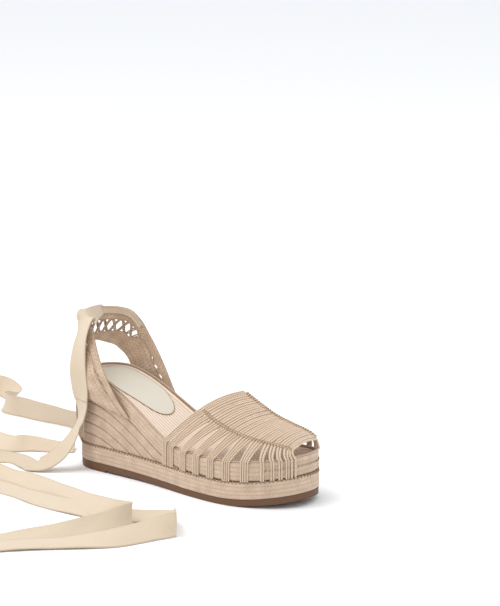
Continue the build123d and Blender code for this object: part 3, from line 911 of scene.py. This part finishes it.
medial_top, medial_end = tie(
    [
        (-24, 14, 134, -0.2, 0.1, 0.95, 0.3), (-29, 12, 134, -0.4, 0.3, 0.85, 0.4),
        (-34, 8, 127, -0.6, 0.6, 0.4, 0.7), (-36, 4, 115, -0.3, 0.9, 0.1, 1),
        (-36, 0, 98, -0.1, 1, 0, 1), (-36, -2, 80, 0, 1, 0, 1), (-36, -3, 62, 0, 1, 0, 1),
        (-37, -2, 44, -0.1, 1, 0, 1), (-40, 1, 29, -0.3, 0.9, 0.3, 1),
        (-44, 9, 18, -0.3, 0.4, 0.85, 1), (-48, 20, 12.5, -0.1, 0.1, 0.99, 1),
    ],
    [
        (-56, 45, 0, 0), (-84, 66, 10, 0), (-119, 74, 22, 0), (-141, 75, 16, 0),
        (-176, 76, 8, 0), (-197, 76, 8, 0), (-209, 78, 0, 0), (-219, 83, -20, 0),
        (-230, 98, -45, 0), (-243, 115, -45, 0), (-266, 127, -25, 0), (-290, 117, 0, 0),
        (-290, 86, 20, 0),
        (-258, 36, 45, 0), (-190, -10, 58, 0), (-115, -30, 60, 0), (-90, -16, 61, 0),
        (-68, -3, 74, 0), (-56, 6, 80, 0),
    ],
    ("tie_medial_hanging", "tie_medial_floor"))
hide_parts("tie_lateral_drop", "tie_loops")
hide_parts("tie_lateral_run")
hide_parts("tie_medial_drop")
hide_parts("tie_medial_run")

# The middle of the tie lies inside the top of the band.
inside = BAND_RUN[(BAND_RUN > BAND_LENGTH * 0.36) & (BAND_RUN < BAND_LENGTH * 0.72)][::2]
centre = band_points(inside, 3.6 + 0 * inside, -0.6 + 0 * inside)
wide = unit(band_points(inside, 8 + 0 * inside, -0.6) - band_points(inside, 4 + 0 * inside, -0.6))
samples = np.column_stack([centre, wide, np.full(len(inside), 0.3)])
middle_tie = ribbon(samples, "tie_inside_band")
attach(middle_tie, "heel_band")
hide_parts("tie_centre")


# ------------------------------------------------------------ stage

VIEW_AZIMUTH = math.radians(40)
VIEW_ELEVATION = math.radians(14)
SCALE = 1.15              # picture pixels per millimetre at the sandal
DISTANCE = 2500
PICTURE_HEIGHT = 606
SENSOR = 36
SANDAL_OFFSET = (57.0, 138.7)   # the sandal sits left of and below the picture's middle

right = Vector((math.cos(VIEW_AZIMUTH), math.sin(VIEW_AZIMUTH), 0))
back = Vector((math.sin(VIEW_AZIMUTH) * math.cos(VIEW_ELEVATION),
               -math.cos(VIEW_AZIMUTH) * math.cos(VIEW_ELEVATION), math.sin(VIEW_ELEVATION)))
up = back.cross(right)
middle = Vector((90, 0, 35))
aim = middle + right * (SANDAL_OFFSET[0] / SCALE) + up * (SANDAL_OFFSET[1] / SCALE)
stand = middle + back * DISTANCE
ahead = (aim - stand).normalized()
across = (right - ahead * right.dot(ahead)).normalized()

camera = bpy.data.objects.new("camera", bpy.data.cameras.new("camera"))
bpy.context.scene.collection.objects.link(camera)
turn = Matrix((across, across.cross(ahead), -ahead)).transposed().to_4x4()
camera.matrix_world = Matrix.Translation(stand * MM) @ turn
camera.data.lens = SENSOR * DISTANCE / (PICTURE_HEIGHT / SCALE)
camera.data.clip_end = 50
bpy.context.scene.camera = camera

floor_mesh = bpy.data.meshes.new("floor")
corners = [(-6, -6, 0), (6, -6, 0), (6, 6, 0), (-6, 6, 0)]
floor_mesh.from_pydata(corners, [], [(0, 1, 2, 3)])
floor = bpy.data.objects.new("floor", floor_mesh)
bpy.context.scene.collection.objects.link(floor)
paper = bpy.data.materials.new("paper")
paper.use_nodes = True
surface = paper.node_tree.nodes["Principled BSDF"]
surface.inputs["Base Color"].default_value = (0.97, 0.97, 0.98, 1)
surface.inputs["Roughness"].default_value = 0.9
floor_mesh.materials.append(paper)


def area(name, place, target, size, power):
    light = bpy.data.lights.new(name, "AREA")
    light.size = size
    light.energy = power
    lamp = bpy.data.objects.new(name, light)
    bpy.context.scene.collection.objects.link(lamp)
    lamp.location = place
    lamp.rotation_euler = (Vector(target) - Vector(place)).to_track_quat("-Z", "Y").to_euler()


area("key", (-0.8, -0.8, 2.1), (0.08, 0, 0), 1.6, 29)
area("fill", (0.9, 1.3, 1.8), (0.08, 0, 0.05), 1.8, 6)
world = bpy.data.worlds.new("studio")
world.use_nodes = True
sky = world.node_tree.nodes["Background"]
sky.inputs["Color"].default_value = (0.96, 0.98, 1.0, 1)
sky.inputs["Strength"].default_value = 0.95
bpy.context.scene.world = world
bpy.context.scene.view_settings.view_transform = "Standard"
